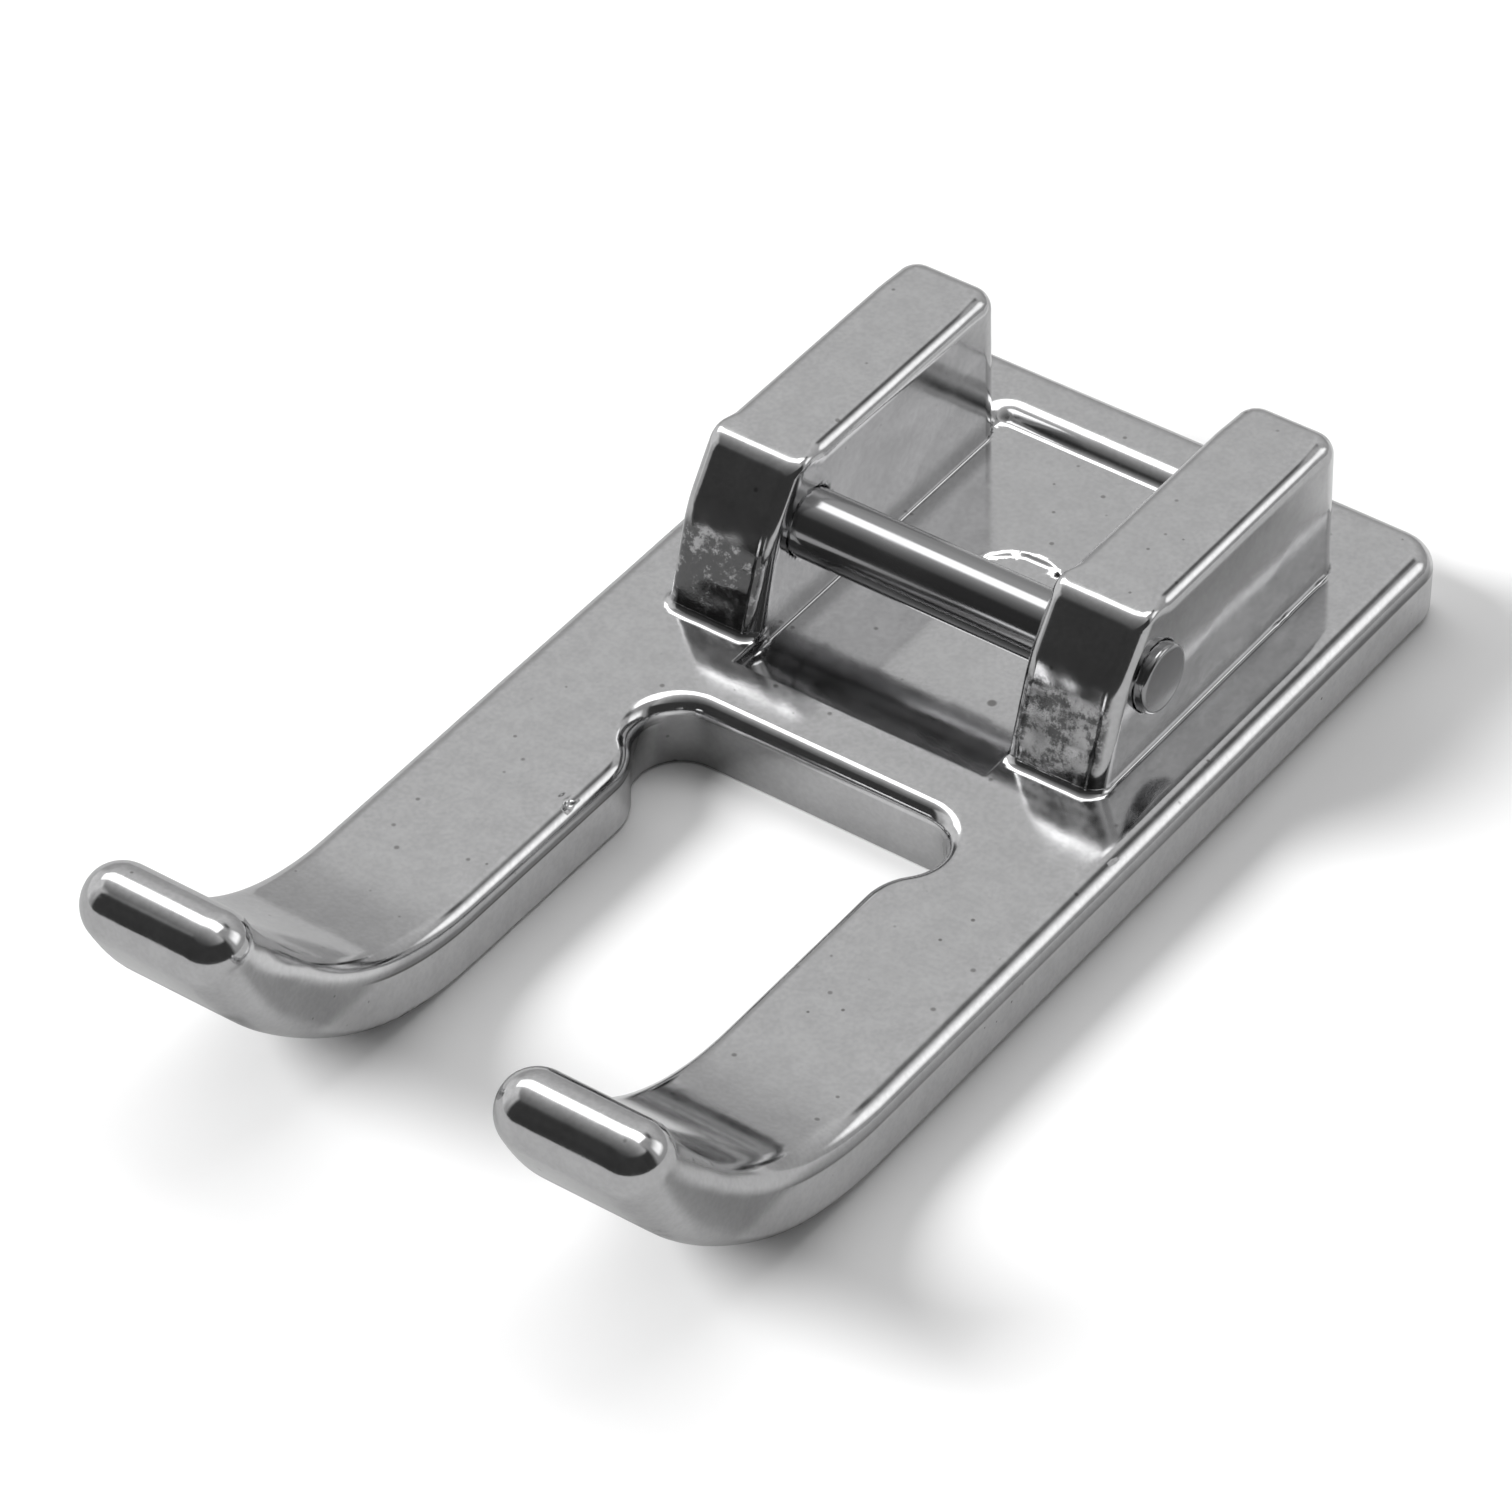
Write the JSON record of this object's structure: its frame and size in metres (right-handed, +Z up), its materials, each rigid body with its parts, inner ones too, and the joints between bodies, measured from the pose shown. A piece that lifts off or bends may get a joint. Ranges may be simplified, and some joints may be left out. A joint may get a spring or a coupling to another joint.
{
  "type": "sewing machine presser foot",
  "caption": "Clip-on open-toe presser foot: flat sole with upturned toes, two ears and a cross pin that the ankle clips onto.",
  "frame": {"origin": "on the surface the sole rests on, under the middle of the foot's length and width", "axes": "+X to the right along the cross pin, +Y from the toes to the back edge, +Z up"},
  "size_m": [0.017, 0.0346, 0.0074],
  "materials": {
    "plated_casting": "bright plating over a fine casting",
    "plated_pin": "bright plating on a turned pin"
  },
  "bodies": {
    "root": {"foot_body": "plated_casting", "cross_pin": "plated_pin"}
  },
  "joints": []
}
